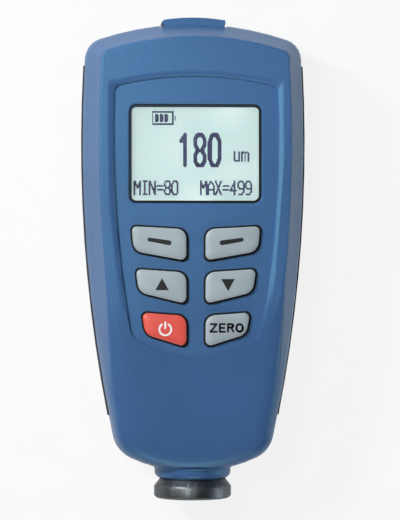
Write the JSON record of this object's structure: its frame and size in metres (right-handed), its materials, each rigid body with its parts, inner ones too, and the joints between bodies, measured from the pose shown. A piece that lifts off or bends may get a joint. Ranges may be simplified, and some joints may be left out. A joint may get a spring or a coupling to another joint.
{
  "type": "coating thickness gauge",
  "caption": "Hand-held coating thickness gauge with a display, keys, side grips and a spring-loaded probe at its lower end, lying on its back.",
  "frame": {"origin": "on the surface that the back lies on, under the middle of the whole gauge", "axes": "+X across the case to the right of the display, +Y from the probe to the top end, +Z out of the face"},
  "size_m": [0.0584, 0.1256, 0.03],
  "materials": {
    "case_abs": "fine moulded texture",
    "grip_rubber": "fine textured",
    "window_acrylic": "clear, polished",
    "gasket_foam": "closed-cell foam",
    "lcd_glass": "backlit pale green-white",
    "light_guide": "milky",
    "black_plastic": "moulded",
    "flex_film": "polyimide film",
    "circuit_board": "solder resist",
    "key_grey": "satin moulded",
    "key_red": "satin moulded",
    "key_mat_silicone": "silicone",
    "steel": "zinc plated",
    "contact_brass": "plated strip",
    "cover_abs": "fine moulded texture",
    "cell_sleeve": "printed sleeve without lettering",
    "probe_metal": "turned and blackened",
    "seal_rubber": "smooth",
    "coil_copper": "enamelled wire"
  },
  "bodies": {
    "case": {"front_shell": "case_abs", "rear_shell": "case_abs", "left_grip": "grip_rubber", "right_grip": "grip_rubber", "display_window": "window_acrylic", "display_gasket": "gasket_foam", "lcd_panel": "lcd_glass", "lcd_backlight": "light_guide", "lcd_holder": "black_plastic", "lcd_ribbon": "flex_film", "main_board": "circuit_board", "board_screws": "steel", "controller_chip": "black_plastic", "buzzer": "black_plastic", "key_mat": "key_mat_silicone", "snap_domes": "steel", "case_screws": "steel", "port_board": "circuit_board", "usb_socket": "steel", "port_ribbon": "flex_film", "cover_pin": "steel", "left_cell": "cell_sleeve", "right_cell": "cell_sleeve", "battery_springs": "steel", "battery_plates": "contact_brass", "probe_cap": "probe_metal", "probe_seal": "seal_rubber", "probe_sleeve": "steel", "probe_spring": "steel", "sleeve_plug": "black_plastic", "sleeve_clip": "steel", "probe_lead": "seal_rubber", "probe_socket": "light_guide"},
    "left_soft_key": {"left_soft_key": "key_grey"},
    "right_soft_key": {"right_soft_key": "key_grey"},
    "up_key": {"up_key": "key_grey"},
    "down_key": {"down_key": "key_grey"},
    "power_key": {"power_key": "key_red"},
    "zero_key": {"zero_key": "key_grey"},
    "plunger": {"sensor_plunger": "steel", "sensor_coil": "coil_copper", "sensor_core": "steel", "sensor_face": "black_plastic"},
    "port_cover": {"port_cover": "cover_abs"},
    "battery_door": {"battery_door": "case_abs"}
  },
  "joints": [
    {"name": "left_soft_key_press", "type": "slide", "parent": "case", "child": "left_soft_key", "axis": [0, 0, -1], "range_m": [0, 0.0008], "stiffness_N_per_m": 1000, "springref_m": -0.0004},
    {"name": "right_soft_key_press", "type": "slide", "parent": "case", "child": "right_soft_key", "axis": [0, 0, -1], "range_m": [0, 0.0008], "stiffness_N_per_m": 1000, "springref_m": -0.0004},
    {"name": "up_key_press", "type": "slide", "parent": "case", "child": "up_key", "axis": [0, 0, -1], "range_m": [0, 0.0008], "stiffness_N_per_m": 1000, "springref_m": -0.0004},
    {"name": "down_key_press", "type": "slide", "parent": "case", "child": "down_key", "axis": [0, 0, -1], "range_m": [0, 0.0008], "stiffness_N_per_m": 1000, "springref_m": -0.0004},
    {"name": "power_key_press", "type": "slide", "parent": "case", "child": "power_key", "axis": [0, 0, -1], "range_m": [0, 0.0008], "stiffness_N_per_m": 1000, "springref_m": -0.0004},
    {"name": "zero_key_press", "type": "slide", "parent": "case", "child": "zero_key", "axis": [0, 0, -1], "range_m": [0, 0.0008], "stiffness_N_per_m": 1000, "springref_m": -0.0004},
    {"name": "plunger_push", "type": "slide", "parent": "case", "child": "plunger", "axis": [0, 1, 0], "range_m": [0, 0.0012], "stiffness_N_per_m": 900, "springref_m": -0.0015, "deforming": ["probe_spring"]},
    {"name": "port_cover_hinge", "type": "hinge", "parent": "case", "child": "port_cover", "pos_m": [0.00725, 0.06137, 0.013], "axis": [0, 0, -1], "range_deg": [0, 95]},
    {"name": "battery_door_slide", "type": "slide", "parent": "case", "child": "battery_door", "axis": [0, -1, 0], "range_m": [0, 0.05]}
  ]
}
